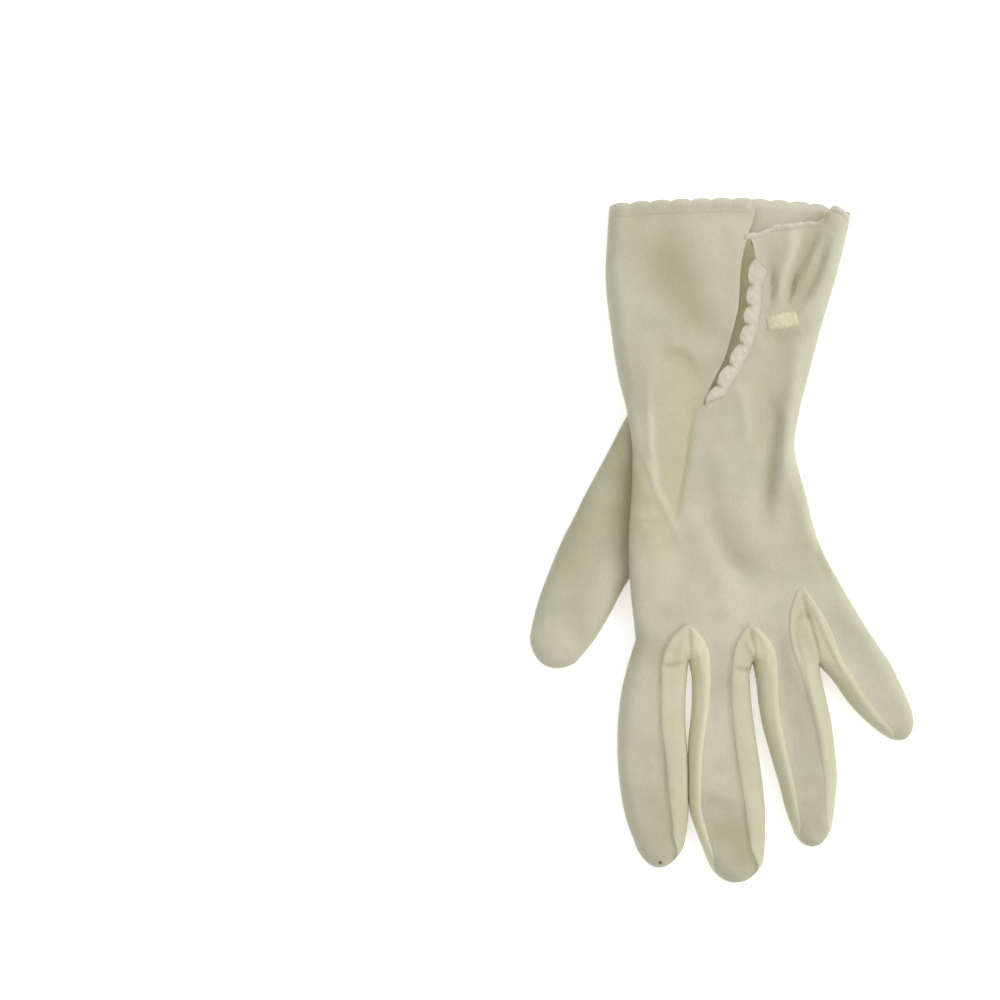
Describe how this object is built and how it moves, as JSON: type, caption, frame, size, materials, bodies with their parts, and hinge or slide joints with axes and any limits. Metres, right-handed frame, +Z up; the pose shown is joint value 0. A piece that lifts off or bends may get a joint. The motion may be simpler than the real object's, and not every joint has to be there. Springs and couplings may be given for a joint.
{
  "type": "wrist length dress glove",
  "caption": "Sheer ivory nylon dress glove lying palm down, open at a scalloped cuff with a slit in the back and a short elastic bar; fingers joined by side strips, thumb set in from the palm.",
  "frame": {"origin": "on the surface the glove lies on, under the middle of its box", "axes": "+X to the right over the back of the hand, away from the thumb, +Y from the fingers to the cuff, +Z up out of the back of the hand"},
  "size_m": [0.134, 0.2398, 0.0135],
  "materials": {
    "sheer_nylon": "fine sheer ivory nylon tricot, matt, greyer where single and creamier where it lies double",
    "side_strip": "the same sheer nylon, yellower, with a raised seam along both edges",
    "scalloped_edging": "soft whiter edging with machine stitched scallops",
    "elastic": "narrow shirred elastic with fine ribs"
  },
  "bodies": {
    "root": {"hand": "sheer_nylon", "thumb": "sheer_nylon", "fourchette_index_middle": "side_strip", "fourchette_middle_ring": "side_strip", "fourchette_ring_little": "side_strip", "cuff_edging": "scalloped_edging", "slit_edging": "scalloped_edging", "elastic_bar": "elastic"}
  },
  "joints": []
}
